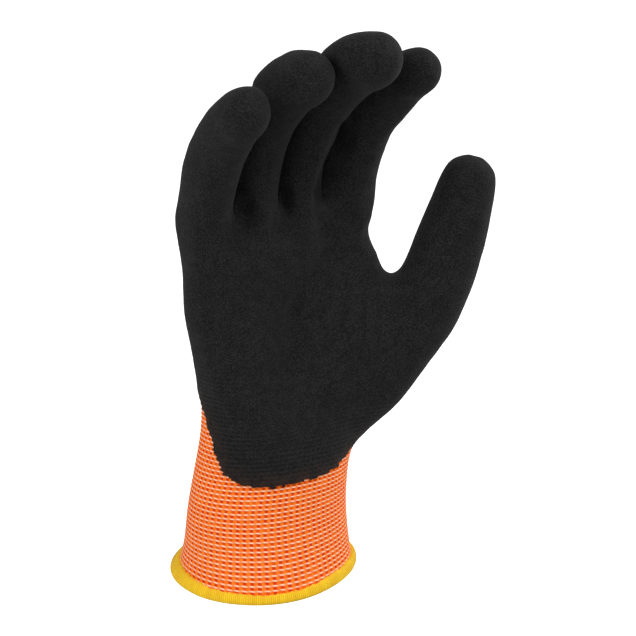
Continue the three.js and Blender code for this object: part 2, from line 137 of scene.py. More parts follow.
def subdivided(cage, levels):
    """The cage's Subdivision Surface at that many levels, as a new mesh to work on."""
    mesh = bpy.data.meshes.new("cage")
    cage.to_mesh(mesh)
    cage.free()
    holder = bpy.data.objects.new("cage", mesh)
    bpy.context.scene.collection.objects.link(holder)
    modifier = holder.modifiers.new("Subdivision", "SUBSURF")
    modifier.levels = modifier.render_levels = levels
    fine = bmesh.new()
    fine.from_object(holder, bpy.context.evaluated_depsgraph_get())
    bpy.data.objects.remove(holder)
    bpy.data.meshes.remove(mesh)
    fine.normal_update()
    return fine


def smooth_skin(node, wall, levels):
    """The outside of a CAD wall as a smooth open skin."""
    skin = outer_skin(quad_cage(node), wall)
    skin.edges.layers.float.new("crease_edge")
    fit(skin)
    return subdivided(skin, levels)


def lookup_of(verts):
    """A search tree of corners, numbered in their order."""
    lookup = KDTree(len(verts))
    for index, vert in enumerate(verts):
        lookup.insert(vert.co, index)
    lookup.balance()
    return lookup


# The set of the worn glove, pressed into the smooth skin and swelled out of it


def hollow_moves(skin):
    """How far each corner of the coating's smooth skin is moved by the hollows and swellings near."""
    verts = list(skin.verts)
    lookup = lookup_of(verts)
    moves = {}
    for start, end, way, reach, depth in HOLLOWS:
        start, end = Vector(start) * MM, Vector(end) * MM
        way = Vector(way).normalized()
        span = (end - start).length / 2 + reach * MM
        for _, index, _ in lookup.find_range((start + end) / 2, span):
            vert = verts[index]
            near = start
            if start != end:
                near, part = geometry.intersect_point_line(vert.co, start, end)
                near = start.lerp(end, min(max(part, 0), 1))
            away = (vert.co - near).length / (reach * MM)
            facing = min(max(TURNED_AWAY - vert.normal.dot(way), 0), 1)
            if away < 1 and facing:
                move = way * depth * MM * facing * (1 - away * away) ** 2
                moves[vert] = moves.get(vert, Vector()) + move
    return moves


@functools.cache
def hollow_lookup():
    """The moved places of the coating's skin, for the liner under it to follow."""
    skin = smooth_skin("nitrile_coating", COATING_EDGE, 2)
    moves = hollow_moves(skin)
    lookup = lookup_of(skin.verts)
    found = [moves.get(vert, Vector()).copy() for vert in skin.verts]
    skin.free()
    return lookup, found


TURNED_AWAY = 0.3  # the most that a face may turn from the press and still be moved, as a cosine
LINER_FOLLOW = 1.3  # how much further than the coating the liner moves, to stay out of sight
HOLLOWS = [  # from, to, the way in, reach and depth in mm; below 0 the depth is a swelling
    ((-41, -4, 138), (-41, -4, 154), (1, 0, 0), 27, 1.9),  # below the little finger
    ((27, -16.2, 138), (6.5, -18.8, 89), (0.1, 0.97, -0.1), 22, 3.2),  # middle of the palm
    ((23, -16.5, 136), (7.6, -13.5, 115), (0, 1, 0), 6, 0.8),  # creases of the palm
    ((7.6, -13.5, 115), (4.6, -18, 91), (0, 1, 0), 6, 0.7),
    ((17, -16.6, 134), (-15, -14.6, 114), (0, -1, 0), 9, 0.5),
    ((46.3, -11.7, 141), (46.3, -11.7, 141), (-0.75, 0.65, 0), 9, 1.5),  # web of the thumb
    ((52.8, -15.7, 127), (52.8, -15.7, 127), (-0.45, 0.4, -0.8), 9, 2.4),
    ((-16.8, -12.5, 160), (-16, -10, 168), (0.75, 0.6, -0.2), 6, 2.0),  # between the fingers
    ((-15.8, -13.6, 160), (-14.8, -13.6, 154), (0.3, 0.95, 0), 6.5, 3.2),
    ((2.5, -12, 158), (3.3, -11, 165), (0.9, 0.4, 0), 5.5, 2.4),
    ((2.8, -13, 159), (4, -13.5, 154), (0.3, 0.95, 0), 5.5, 1.9),
    ((20, -15, 160), (23, -18, 176), (-1, 0, 0), 9, 2.4),  # both sides of one valley, moved over
    ((24, -12, 160), (27, -12, 174), (1, 0, 0), 8, -2.4),
    ((22, -12, 163), (24, -12, 172), (0, 1, 0), 6, 2.4),  # the same valley, made deeper
    ((22, -15, 161), (27, -14, 160), (0.2, 0.97, 0), 5, 1.4),
    ((30, -14, 188), (25, -12, 166), (0.6, 0.78, 0), 9, 3.4),
    ((19, -17, 164), (22, -23, 189), (-0.95, 0.1, 0.1), 8, 2.0),
    ((10, -52, 220.5), (11, -55, 219.5), (0.9, 0.4, 0), 7, 1.2),  # side of the middle fingertip
    ((-15.6, -27, 211), (-14.8, -31.6, 215), (0.93, -0.12, -0.3), 13, -1.8),  # backs of two fingers
    ((9.8, -35.5, 221), (12, -41, 226), (0.8, -0.2, -0.57), 14, -2.7),
    ((-14.9, -20.9, 212), (-7, -34, 223), (0.55, -0.45, -0.7), 8, -1.2),
    ((50.8, -28, 193.5), (51.4, -32, 197), (-0.5, 0.5, 0.7), 13, -1.2),  # under the index fingertip
    ((84.5, -35, 134), (83.5, -35, 127), (-0.75, 0.62, 0.25), 21, -1.2),  # side of the thumb
    ((-29.4, -44.3, 211.8), (-29.4, -44.3, 211.8), (-0.3, 0.45, -0.8), 9, -0.9),  # a fingertip
]


# Places on the cuff, measured round the smooth liner and up from its edge


@functools.cache
def liner_surface():
    """The liner's outside, to cast rays on."""
    skin = smooth_skin("knit_liner", LINER_EDGE, 3)
    surface = BVHTree.FromBMesh(skin)
    skin.free()
    return surface


@functools.cache
def open_edge(node, wall):
    """Height of a wall's open edge against its bearing round the cuff, in order of bearing."""
    skin = smooth_skin(node, wall, 3)
    line = sorted((bearing_of(v.co), v.co.z) for v in skin.verts if v.is_boundary)
    skin.free()
    return line


def bearing_of(point):
    """Turn from the thumb's side round over the back, from 0 to a full turn."""
    return math.atan2(point.y - CUFF_AXIS.y, point.x - CUFF_AXIS.x) % math.tau


def read_round(line, bearing):
    """The value at a bearing of a line of bearings and values that goes all the way round."""
    after = bisect_right(line, (bearing, math.inf)) % len(line)
    low, high = line[after - 1], line[after]
    span = (high[0] - low[0]) % math.tau or 1
    return low[1] + (high[1] - low[1]) * ((bearing - low[0]) % math.tau) / span


def dip_height(bearing):
    """Height of the dip line at a bearing."""
    return read_round(open_edge("nitrile_coating", COATING_EDGE), bearing)


def edge_height(bearing):
    """Height of the cuff's edge at a bearing."""
    return read_round(open_edge("knit_liner", LINER_EDGE), bearing)


def knit_height(point):
    """How far up the knit a point lies from the cuff's edge, whose slant is taken up by LEVEL."""
    slant = edge_height(bearing_of(point))
    return point.z if point.z > LEVEL else (point.z - slant) / (1 - slant / LEVEL)


@functools.cache
def cuff_ring(level):
    """Points round the liner at each of RING_STEPS bearings and their shares of the way round, at a
    height of so many LEVELS_A_MM."""
    height = level * MM / LEVELS_A_MM
    points = []
    for step in range(RING_STEPS):
        bearing = math.tau * step / RING_STEPS
        out = Vector((math.cos(bearing), math.sin(bearing), 0))
        slant = edge_height(bearing) * max(0, 1 - height / LEVEL)
        centre = CUFF_AXIS + Vector((0, 0, height + slant))
        hit = liner_surface().ray_cast(centre, out, WIDEST_CUFF)[0]
        points.append(hit or centre + out * WIDEST_CUFF)
    shares = [0.0]
    for step in range(RING_STEPS):
        shares.append(shares[-1] + (points[(step + 1) % RING_STEPS] - points[step]).length)
    return points, [share / shares[-1] for share in shares]


def liner_point(share, height):
    """The point on the liner's outside at a share of the way round and a height up the knit."""
    points, shares = cuff_ring(round(height / MM * LEVELS_A_MM))
    share %= 1
    step = min(bisect_right(shares, share) - 1, RING_STEPS - 1)
    part = (share - shares[step]) / (shares[step + 1] - shares[step])
    return points[step].lerp(points[(step + 1) % RING_STEPS], part)


def flared(point, share, height):
    """Where a point by the cuff's edge lies once the edge has curled outwards."""
    if height >= FLARE_TOP:
        return point
    root = liner_point(share, FLARE_TOP)
    before, after = (liner_point(share + step, FLARE_TOP) for step in (-NEARBY, NEARBY))
    axis = (after - before).normalized()
    angle = read_round(FLARE, bearing_of(root)) * (1 - height / FLARE_TOP)
    return root + Matrix.Rotation(-angle, 3, axis) @ (point - root)


def cuff_point(share, height):
    """The point on the flared cuff's face at a share of the way round and a height up the knit."""
    return flared(liner_point(share, height), share, height)


def share_at(point):
    """The share of the way round the cuff at which a point lies, read at the nearest SHARE_STEP."""
    level = round(knit_height(point) / MM / SHARE_STEP) * SHARE_STEP * LEVELS_A_MM
    _, shares = cuff_ring(min(max(level, LOWEST_LEVEL), HIGHEST_LEVEL))
    place = bearing_of(point) / math.tau * RING_STEPS
    step = min(int(place), RING_STEPS - 1)
    return shares[step] + (shares[step + 1] - shares[step]) * (place - step)


def flat_grid(layer, columns, rows):
    """A grid with a UV layer, and each of its corners' shares of the way along and up."""
    grid = bmesh.new()
    uv = grid.loops.layers.uv.new(layer)
    bmesh.ops.create_grid(grid, x_segments=columns, y_segments=rows, size=0.5, calc_uvs=True)
    return grid, uv, {vert: (vert.co.x + 0.5, vert.co.y + 0.5) for vert in grid.verts}


def lay_knit(mesh, pairs, course):
    """Gives faces on or by the cuff the knit's own UV: wale pairs round and courses up."""
    uv = mesh.loops.layers.uv.new("knit")
    place = {v: (share_at(v.co), knit_height(v.co) / course) for v in mesh.verts}
    for face in mesh.faces:
        shares = [place[v][0] for v in face.verts]
        wraps = max(shares) - min(shares) > 0.5
        for loop in face.loops:
            share, row = place[loop.vert]
            loop[uv].uv = ((share + (wraps and share < 0.5)) * pairs, row)


LINER_EDGE = 1.3 * MM
COATING_EDGE = 1.0 * MM
OUTSIDE_WITHIN = 0.4 * MM  # the liner's corners this near its outside belong to it
RING_STEPS = 240
LEVELS_A_MM = 10
SHARE_STEP = 2  # in mm
LOWEST_LEVEL, HIGHEST_LEVEL = 5, 1000  # where a share is read
NEARBY = 0.002  # a small share of the way round, to find which way the cuff runs
WIDEST_CUFF = 48 * MM
LEVEL = 45 * MM  # the height from which the knit's courses lie level
FLARE_TOP = 6 * MM
FLARE = [  # how far the cuff's edge curls outwards, in radians, at each bearing
    (math.radians(bearing), math.radians(curl))
    for bearing, curl in [
        (0, 5), (30, 8), (60, 11), (90, 14), (120, 18), (146, 20), (165, 19), (190, 14),
        (215, 9), (240, 6), (290, 4), (326, 2),
    ]
]
HEM_SWELL = [  # the hem's height at each bearing, as a share of the usual one
    (math.radians(bearing), swell)
    for bearing, swell in [
        (0, 1.1), (60, 1.15), (90, 1.3), (120, 1.6), (146, 1.75), (165, 1.65), (185, 1.4),
        (205, 1.12), (236, 0.95), (262, 1.0), (290, 1.2), (326, 1.25),
    ]
]


# Materials


def put(tree, kind, values=(), **settings):
    """A new node with its settings made and its inputs given numbers, colours or other outputs."""
    node = tree.nodes.new(kind)
    for name, setting in settings.items():
        setattr(node, name, setting)
    for socket, value in dict(values).items():
        if isinstance(value, bpy.types.NodeSocket):
            tree.links.new(value, node.inputs[socket])
        else:
            node.inputs[socket].default_value = value
    return node


def sum_up(tree, operation, *values):
    """One Math node's output."""
    return put(tree, "ShaderNodeMath", dict(enumerate(values)), operation=operation).outputs[0]


def ramp(tree, value, low, high, to_low=0.0, to_high=1.0):
    """A smooth rise of value from low to high."""
    values = {"Value": value, 1: low, 2: high, 3: to_low, 4: to_high}
    node = put(tree, "ShaderNodeMapRange", values, interpolation_type="SMOOTHSTEP")
    return node.outputs["Result"]


def blend(tree, factor, first, second):
    """A mix of two colours."""
    values = {0: factor, 6: first, 7: second}
    return put(tree, "ShaderNodeMix", values, data_type="RGBA").outputs[2]


def grain(tree, vector, scale, detail=2.0, rough=0.5):
    """Soft noise from 0 to 1."""
    values = {"Vector": vector, "Scale": scale, "Detail": detail, "Roughness": rough}
    return put(tree, "ShaderNodeTexNoise", values).outputs["Fac"]


def new_group(name, inputs, outputs):
    """An empty shader group with named sockets, and its input and output nodes."""
    group = bpy.data.node_groups.new(name, "ShaderNodeTree")
    for label, kind in inputs:
        group.interface.new_socket(label, in_out="INPUT", socket_type=kind)
    for label in outputs:
        group.interface.new_socket(label, in_out="OUTPUT", socket_type="NodeSocketFloat")
    return group, group.nodes.new("NodeGroupInput"), group.nodes.new("NodeGroupOutput")


def new_material(name, roughness, specular, sheen=0.0):
    """A material with its shader, whose even values are set on the shader itself."""
    material = bpy.data.materials.new(name)
    material.use_nodes = True
    shader = material.node_tree.nodes["Principled BSDF"]
    shader.inputs["Roughness"].default_value = roughness
    shader.inputs["Specular IOR Level"].default_value = specular
    shader.inputs["Sheen Weight"].default_value = sheen
    return material, material.node_tree, shader


YARN_TWIST = 44  # radians along one pair of stitches


def knit_stitch_group():
    """The knit's stitches from its UV: the pale courses, the dark cells between and the relief."""
    name = "knit stitch"
    if name in bpy.data.node_groups:
        return bpy.data.node_groups[name]
    inputs = [("Vector", "NodeSocketVector"), ("Slant", "NodeSocketFloat")]
    group, start, end = new_group(name, inputs, ["Course", "Cell", "Height"])
    parts = put(group, "ShaderNodeSeparateXYZ", {0: start.outputs["Vector"]})
    pair = sum_up(group, "FRACT", parts.outputs["X"])
    lean = sum_up(group, "MULTIPLY", sum_up(group, "SUBTRACT", pair, 0.5), start.outputs["Slant"])
    row = sum_up(group, "FRACT", sum_up(group, "ADD", parts.outputs["Y"], lean))
    from_bar = sum_up(group, "ABSOLUTE", sum_up(group, "SUBTRACT", row, 0.5))
    from_cell = sum_up(group, "ABSOLUTE", sum_up(group, "SUBTRACT", pair, 0.5))
    bar = ramp(group, from_bar, 0.1, 0.2, 1, 0)
    wide = ramp(group, from_cell, 0.15, 0.33, 1, 0)
    deep = ramp(group, from_bar, 0.17, 0.27)
    cell = sum_up(group, "MULTIPLY", wide, deep)
    bright = sum_up(group, "MULTIPLY", bar, ramp(group, from_cell, 0.14, 0.4, 1, 0.35))
    turned = sum_up(group, "MULTIPLY_ADD", parts.outputs["X"], YARN_TWIST, lean)
    twist = sum_up(group, "SINE", turned)
    raised = sum_up(group, "MULTIPLY_ADD", bar, 0.5, 0.4)
    height = sum_up(group, "MULTIPLY_ADD", cell, -0.35, raised)
    height = sum_up(group, "MULTIPLY_ADD", twist, 0.06, height)
    group.links.new(bright, end.inputs["Course"])
    group.links.new(cell, end.inputs["Cell"])
    group.links.new(height, end.inputs["Height"])
    return group


def sandy_skin_group():
    """Sandy nitrile: a fine grain with lighter tops and broad cloudy patches."""
    name = "sandy skin"
    if name in bpy.data.node_groups:
        return bpy.data.node_groups[name]
    inputs = [("Vector", "NodeSocketVector"), ("Grains", "NodeSocketFloat")]
    group, start, end = new_group(name, inputs, ["Speckle", "Clouds", "Height"])
    vector, size = start.outputs["Vector"], start.outputs["Grains"]
    fine = grain(group, vector, size, 3, 0.65)
    values = {"Vector": vector, "Scale": sum_up(group, "MULTIPLY", size, 0.8)}
    cells = put(group, "ShaderNodeTexVoronoi", values).outputs["Distance"]
    height = sum_up(group, "MULTIPLY_ADD", ramp(group, cells, 0.1, 0.7, 1, 0), 0.35, fine)
    clouds = grain(group, vector, sum_up(group, "MULTIPLY", size, 0.09), 4, 0.65)
    group.links.new(ramp(group, height, 0.45, 0.9), end.inputs["Speckle"])
    group.links.new(ramp(group, clouds, 0.3, 0.7), end.inputs["Clouds"])
    group.links.new(height, end.inputs["Height"])
    return group


def knit_material(settings):
    """Orange yarn with a pale yarn plated into every course."""
    material, tree, shader = new_material("plated knit", 0.85, 0.1, 0.03)
    uv = put(tree, "ShaderNodeUVMap", uv_map="knit").outputs["UV"]
    place = put(tree, "ShaderNodeTexCoord").outputs["Object"]
    wander = grain(tree, place, 900, 2)
    uneven = grain(tree, place, 320, 2)
    stitch = put(tree, "ShaderNodeGroup", node_tree=knit_stitch_group())
    tree.links.new(uv, stitch.inputs["Vector"])
    stitch.inputs["Slant"].default_value = settings.slant
    orange = blend(tree, ramp(tree, wander, 0.35, 0.65), settings.orange, settings.orange_light)
    hollow = sum_up(tree, "MULTIPLY", stitch.outputs["Cell"], ramp(tree, uneven, 0.32, 0.55, 0.4, 1))
    body = blend(tree, hollow, orange, settings.shaded)
    course = sum_up(tree, "MULTIPLY", stitch.outputs["Course"], ramp(tree, wander, 0.2, 0.6, 0.7, 1))
    tree.links.new(blend(tree, course, body, settings.pale), shader.inputs["Base Color"])
    values = {"Height": stitch.outputs["Height"], "Strength": 0.6, "Distance": 0.2 * MM}
    bump = put(tree, "ShaderNodeBump", values)
    tree.links.new(bump.outputs["Normal"], shader.inputs["Normal"])
    return material


def coating_material(settings, knit):
    """Dark foamed nitrile with a sandy grip, thin enough at its edge for the knit's colour to show.
    Further in, the stitches press up through it, with painted shade in their cells and a painted
    highlight on their courses.
    """
    material, tree, shader = new_material("sandy nitrile", 0.8, 0.12, 0.04)
    place = put(tree, "ShaderNodeTexCoord").outputs["Object"]
    skin = put(tree, "ShaderNodeGroup", node_tree=sandy_skin_group())
    tree.links.new(place, skin.inputs["Vector"])
    skin.inputs["Grains"].default_value = settings.grains
    stitch = put(tree, "ShaderNodeGroup", node_tree=knit_stitch_group())
    tree.links.new(put(tree, "ShaderNodeUVMap", uv_map="knit").outputs["UV"], stitch.inputs["Vector"])
    stitch.inputs["Slant"].default_value = knit.slant
    edge = put(tree, "ShaderNodeAttribute", attribute_name="edge_distance").outputs["Fac"]
    thin = ramp(tree, edge, 0.5, settings.show_through / MM, 1, 0)
    stained = ramp(tree, edge, 0, settings.stain_reach / MM, 1, 0)
    clouds = sum_up(tree, "MULTIPLY_ADD", skin.outputs["Clouds"], 0.26, -0.13)
    # Painted shade in the stitches' cells and a painted highlight on their raised courses, fading away
    # from the edge
    stitches = sum_up(tree, "MULTIPLY_ADD", stitch.outputs["Height"], 0.7, -0.38)
    lit = sum_up(tree, "MULTIPLY_ADD", stitches, thin, skin.outputs["Speckle"])
    lit = sum_up(tree, "ADD", lit, clouds)
    base = blend(tree, lit, settings.dark, settings.light)
    warm = sum_up(tree, "MULTIPLY", stained, ramp(tree, skin.outputs["Clouds"], 0.2, 0.8, 0.1, 0.45))
    tree.links.new(blend(tree, warm, base, settings.stained), shader.inputs["Base Color"])
    rough = ramp(tree, skin.outputs["Speckle"], 0, 1, 0.72, 0.88)
    tree.links.new(rough, shader.inputs["Roughness"])
    values = {"Height": stitch.outputs["Height"], "Strength": thin, "Distance": 0.35 * MM}
    under = put(tree, "ShaderNodeBump", values)
    values = {"Height": skin.outputs["Height"], "Strength": 0.8, "Distance": 0.3 * MM}
    bump = put(tree, "ShaderNodeBump", {**values, "Normal": under.outputs["Normal"]})
    tree.links.new(bump.outputs["Normal"], shader.inputs["Normal"])
    return material


def hem_material(settings):
    """Yellow overlock thread: fine ridges across the hem, a little uneven in colour."""
    material, tree, shader = new_material("overlock thread", 0.8, 0.15, 0.1)
    uv = put(tree, "ShaderNodeUVMap", uv_map="thread").outputs["UV"]
    parts = put(tree, "ShaderNodeSeparateXYZ", {0: uv})
    ridge = sum_up(tree, "FRACT", parts.outputs["X"])
    ridge = sum_up(tree, "ABSOLUTE", sum_up(tree, "SUBTRACT", ridge, 0.5))
    groove = ramp(tree, ridge, 0.3, 0.5)
    number = sum_up(tree, "FLOOR", parts.outputs["X"])
    thread = put(tree, "ShaderNodeTexWhiteNoise", {"W": number}, noise_dimensions="1D")
    place = put(tree, "ShaderNodeTexCoord").outputs["Object"]
    worn = grain(tree, place, 260, 3)
    tone = sum_up(tree, "MULTIPLY_ADD", thread.outputs["Value"], 0.5, ramp(tree, worn, 0.35, 0.7, 0, 0.5))
    yellow = blend(tree, tone, settings.deep, settings.yellow)
    shaded = sum_up(tree, "MULTIPLY", groove, 0.7)
    tree.links.new(blend(tree, shaded, yellow, settings.shaded), shader.inputs["Base Color"])
    height = sum_up(tree, "SUBTRACT", 1, groove)
    bump = put(tree, "ShaderNodeBump", {"Height": height, "Strength": 0.5, "Distance": 0.1 * MM})
    tree.links.new(bump.outputs["Normal"], shader.inputs["Normal"])
    return material


def floor_material():
    """Plain white paper that looks fully lit to the camera."""
    material, tree, shader = new_material("white paper", 0.9, 0.2)
    shader.inputs["Base Color"].default_value = (0.7, 0.7, 0.7, 1)
    seen = put(tree, "ShaderNodeLightPath").outputs["Is Camera Ray"]
    tree.links.new(seen, shader.inputs["Emission Color"])
    shader.inputs["Emission Strength"].default_value = 1.0
    material.cycles.emission_sampling = "NONE"
    return material


# Pieces


FACES_A_PAIR, FACES_A_COURSE = 8, 4  # of the knit's grid
FACES_A_THREAD, FACES_ROUND_HEM = 4, 18
SEAM_SHARE = 1e-5  # corners nearer the seam than this share of the way round lie on it
GAP_REACH, GAP_DEPTH = 0.3, 0.8  # of the gap at each pair, as shares of the pair and of the relief
LOOP_LIFT = 0.25  # of the two loops of a pair, as a share of the relief
FINE_SWELL = 2.3  # how many times finer the small swells are than the broad ones
THIN_CURVE = 1.5  # how sharply the skin thins towards its edge
HEM_SQUARENESS = 2.6  # of the hem's section: 2 is round, and more is squarer
HEM_UV_ROUND = 6
HEM_FOOT = 0.5 * MM  # the hem doesn't follow the knit's face below this
HEM_RISE = 1.5 * MM  # the knit's slope is read over this height
JAG_PACE = 0.7  # how fast the hem's upper edge changes from thread to thread
STEEP_DIP = 0.85  # past this the dip line counts as level and steps by half courses
STEP_DAMPING = 0.65  # how much the steps shrink where the dip line stands upright
WALE_PACE, SLOW_PACE, FRAY_PACE, ROW_PACE = 0.71, 0.23, 1.7, 0.45  # of the edge's uneven steps


def add_piece(mesh_work, name, material, slot, *nodes):
    """Makes the worked mesh a smooth-shaded piece of the glove that stands for the CAD nodes."""
    mesh = bpy.data.meshes.new(name)
    mesh_work.to_mesh(mesh)
    mesh_work.free()
    mesh.shade_smooth()
    mesh.materials.append(material)
    piece = bpy.data.objects.new(name, mesh)
    bpy.context.scene.collection.objects.link(piece)
    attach(piece, BODY)
    if nodes:
        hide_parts(*nodes)
    return piece


def make_liner_wall(knit):
    """The liner's whole wall, inside and out, with its edge kept square."""
    cage = quad_cage("knit_liner")
    creases = cage.edges.layers.float.new("crease_edge")
    rim = set(rim_faces(cage, LINER_EDGE))
    for edge in {edge for face in rim for edge in face.edges}:
        if not all(face in rim for face in edge.link_faces):
            edge[creases] = 1
    fit(cage)
    wall = subdivided(cage, 2)
    lookup, moves = hollow_lookup()
    surface = liner_surface()
    for vert in wall.verts:
        move = moves[lookup.find(vert.co)[1]] * LINER_FOLLOW
        if surface.find_nearest(vert.co)[3] < OUTSIDE_WITHIN:
            move = move - vert.normal * knit.wall_step
        vert.co += move
    lay_knit(wall, knit.wale_pairs, knit.course)
    for vert in wall.verts:
        if vert.co.z < 2 * FLARE_TOP:
            vert.co = flared(vert.co, share_at(vert.co), max(0, knit_height(vert.co)))
    return wall


def make_knit_cuff(knit):
    """The cuff's face as courses of stitches in relief, from inside the hem to under the coating."""
    pairs, course = knit.wale_pairs, knit.course
    dip_line = open_edge("nitrile_coating", COATING_EDGE)
    top = max(height for _, height in dip_line) + knit.tuck
    courses = math.ceil((top - knit.start) / course)
    cuff, uv, flat = flat_grid("knit", pairs * FACES_A_PAIR, courses * FACES_A_COURSE)
    for vert, (share, rise) in flat.items():
        vert.co = cuff_point(share, knit.start + rise * courses * course)
    for face in cuff.faces:
        for loop in face.loops:
            share, rise = flat[loop.vert]
            loop[uv].uv = (share * pairs, knit.start / course + rise * courses)
    middles = {face: face.calc_center_median() for face in cuff.faces}
    past = [f for f, middle in middles.items() if middle.z > dip_height(bearing_of(middle)) + knit.tuck]
    bmesh.ops.delete(cuff, geom=past, context="FACES")
    cuff.normal_update()
    outwards = sum(face.normal.dot(face.calc_center_median() - CUFF_AXIS) > 0 for face in cuff.faces)
    if outwards < len(cuff.faces) / 2:
        bmesh.ops.reverse_faces(cuff, faces=cuff.faces)
        cuff.normal_update()
    lifts = {v: (v.normal.copy(), stitch_relief(*flat[v], knit, courses)) for v in cuff.verts}
    for vert, (normal, lift) in lifts.items():
        vert.co += normal * (lift - knit.wall_step / 3)
    seam = [v for v in cuff.verts if not SEAM_SHARE <= flat[v][0] <= 1 - SEAM_SHARE]
    bmesh.ops.remove_doubles(cuff, verts=seam, dist=SEAM_MERGE)
    return cuff


def stitch_relief(share, rise, knit, courses):
    """Lift of the yarn at a place on the knit: raised courses with a hollow at each pair's gap."""
    pair = share * knit.wale_pairs % 1
    row = (knit.start / knit.course + rise * courses + knit.slant * (pair - 0.5)) % 1
    bar = 0.5 + 0.5 * math.cos(math.tau * (row - 0.5))
    gap = max(0, 1 - abs(pair - 0.5) / GAP_REACH) * (1 - bar)
    loops = LOOP_LIFT * math.cos(math.tau * 2 * pair) * (1 - bar)
    return knit.relief * (bar - 0.5 - GAP_DEPTH * gap + loops)


def make_coated_skin(coating, knit):
    """The coating's outside, its edge stepped along the courses and thinned out onto the knit."""
    skin = smooth_skin("nitrile_coating", COATING_EDGE, 3)
    moves = hollow_moves(skin)
    for vert in skin.verts:
        place = vert.co / coating.ripple_span
        swell = noise.noise(place) + 0.5 * noise.noise(place * FINE_SWELL)
        moves[vert] = moves.get(vert, Vector()) + vert.normal * coating.ripple * swell
    for vert, move in moves.items():
        vert.co += move
    refine_edge(skin, coating.thin_reach)
    distance = skin.verts.layers.float.new("edge_distance")
    border = [v for v in skin.verts if v.is_boundary]
    lookup = lookup_of(border)
    downs = [way_out(vert) for vert in border]
    steps = [edge_step(vert, down, coating, knit) for vert, down in zip(border, downs)]
    moves = {}
    for vert in skin.verts:
        _, index, away = lookup.find(vert.co)
        vert[distance] = away / MM
        if away < coating.edge_reach:
            near = (1 - away / coating.edge_reach) ** 2
            thin = max(0, 1 - away / coating.thin_reach) ** THIN_CURVE
            moves[vert] = downs[index] * steps[index] * near - vert.normal * coating.thinning * thin
    for vert, move in moves.items():
        vert.co += move
    skin.normal_update()
    close_edge(skin, coating.lip)
    lay_knit(skin, knit.wale_pairs, knit.course)
    return skin


def refine_edge(skin, reach):
    """Halves the faces within reach of the skin's open edge."""
    lookup = lookup_of([v for v in skin.verts if v.is_boundary])
    close = {v for v in skin.verts if lookup.find(v.co)[2] < reach}
    edges = [e for e in skin.edges if close.issuperset(e.verts)]
    bmesh.ops.subdivide_edges(skin, edges=edges, cuts=1, use_grid_fill=True)
    skin.normal_update()


def way_out(vert):
    """The way off the skin at a border corner, square to its open edge."""
    before, after = (e.other_vert(vert).co for e in vert.link_edges if e.is_boundary)
    inner = min(
        (e.other_vert(vert).co for e in vert.link_edges if not e.is_boundary),
        key=lambda co: (co - vert.co).length,
    )
    out = (after - before).cross(vert.normal).normalized()
    return out if out.dot(vert.co - inner) > 0 else -out


def edge_step(vert, down, coating, knit):
    """How far the coat runs down past the dip line here, so that it ends in steps on the stitches."""
    wale = share_at(vert.co) * knit.wale_pairs * 2
    rows = knit_height(vert.co) / knit.course
    stray = 0.5 * noise.noise(Vector((math.floor(wale) * WALE_PACE, 0.5, 2.5)))
    stray += 0.5 * noise.noise(Vector((wale * SLOW_PACE, 4.5, 1.5)))
    fray = 0.12 * noise.noise(Vector((wale * FRAY_PACE, 7.1, 0.3)))
    parts = 2 if down.z < -STEEP_DIP else 1
    steep = 1 - min(1, abs(down.z))
    step = (rows - round((rows + stray) * parts) / parts) * (1 - STEP_DAMPING * steep) + fray
    step = (step + 0.5 * steep * noise.noise(Vector((5.1, rows * ROW_PACE, 1.3)))) * knit.course
    return max(-coating.raggedness, min(coating.raggedness, step))


def close_edge(skin, depth):
    """Turns the skin's open edge in towards the knit as a thin lip."""
    rim = [e for e in skin.edges if e.is_boundary]
    inwards = {v: -v.normal for e in rim for v in e.verts}
    made = bmesh.ops.extrude_edge_only(skin, edges=rim)["geom"]
    lookup = lookup_of(inwards)
    normals = list(inwards.values())
    for vert in (g for g in made if isinstance(g, bmesh.types.BMVert)):
        vert.co += normals[lookup.find(vert.co)[1]] * depth
    skin.normal_update()


def make_hem_roll(hem):
    """The overlocked hem: a flat bead rolled round the cuff's edge, ridged by its threads."""
    ring = cuff_ring(round(FLARE_TOP / MM * LEVELS_A_MM))[0]
    around = sum((after - before).length for before, after in zip(ring, ring[1:] + ring[:1]))
    threads = round(around / hem.pitch)
    roll, uv, flat = flat_grid("thread", threads * FACES_A_THREAD, FACES_ROUND_HEM)
    for vert, (share, turn) in flat.items():
        vert.co = hem_point(share, turn, threads, hem)
    for face in roll.faces:
        for loop in face.loops:
            share, turn = flat[loop.vert]
            loop[uv].uv = (share * threads, turn * HEM_UV_ROUND)
    bmesh.ops.remove_doubles(roll, verts=roll.verts, dist=HEM_MERGE)
    bmesh.ops.recalc_face_normals(roll, faces=roll.faces)
    return roll


def hem_point(share, turn, threads, hem):
    """A point on the hem at a share of the way round the cuff and of the way round its roll."""
    across, rise = math.cos(math.tau * turn), math.sin(math.tau * turn)
    thread = share * threads
    jag = 1 + hem.jag * noise.noise(Vector((thread * JAG_PACE, 3.3, 0))) * max(0, rise)
    power = 2 / HEM_SQUARENESS
    width = hem.width / 2 + hem.ridge * math.cos(math.tau * thread)
    sideways = math.copysign(abs(across) ** power, across) * width + hem.offset
    height = hem.height * read_round(HEM_SWELL, bearing_of(liner_point(share, FLARE_TOP)))
    upwards = height / 2 - hem.drop + math.copysign(abs(rise) ** power, rise) * height / 2 * jag
    level = max(upwards, HEM_FOOT)
    base = cuff_point(share, level)
    up = (cuff_point(share, level + HEM_RISE) - base).normalized()
    along = cuff_point(share + NEARBY, level) - cuff_point(share - NEARBY, level)
    return base + along.cross(up).normalized() * sideways + up * (upwards - level)


# Settings


def color(name, description, value):
    """A colour setting."""
    return bpy.props.FloatVectorProperty(
        name=name, description=description, default=(*value, 1), size=4, min=0, max=1, subtype="COLOR"
    )


def length(name, description, millimetres):
    """A length setting."""
    return bpy.props.FloatProperty(
        name=name, description=description, default=millimetres * MM, precision=5, unit="LENGTH"
    )


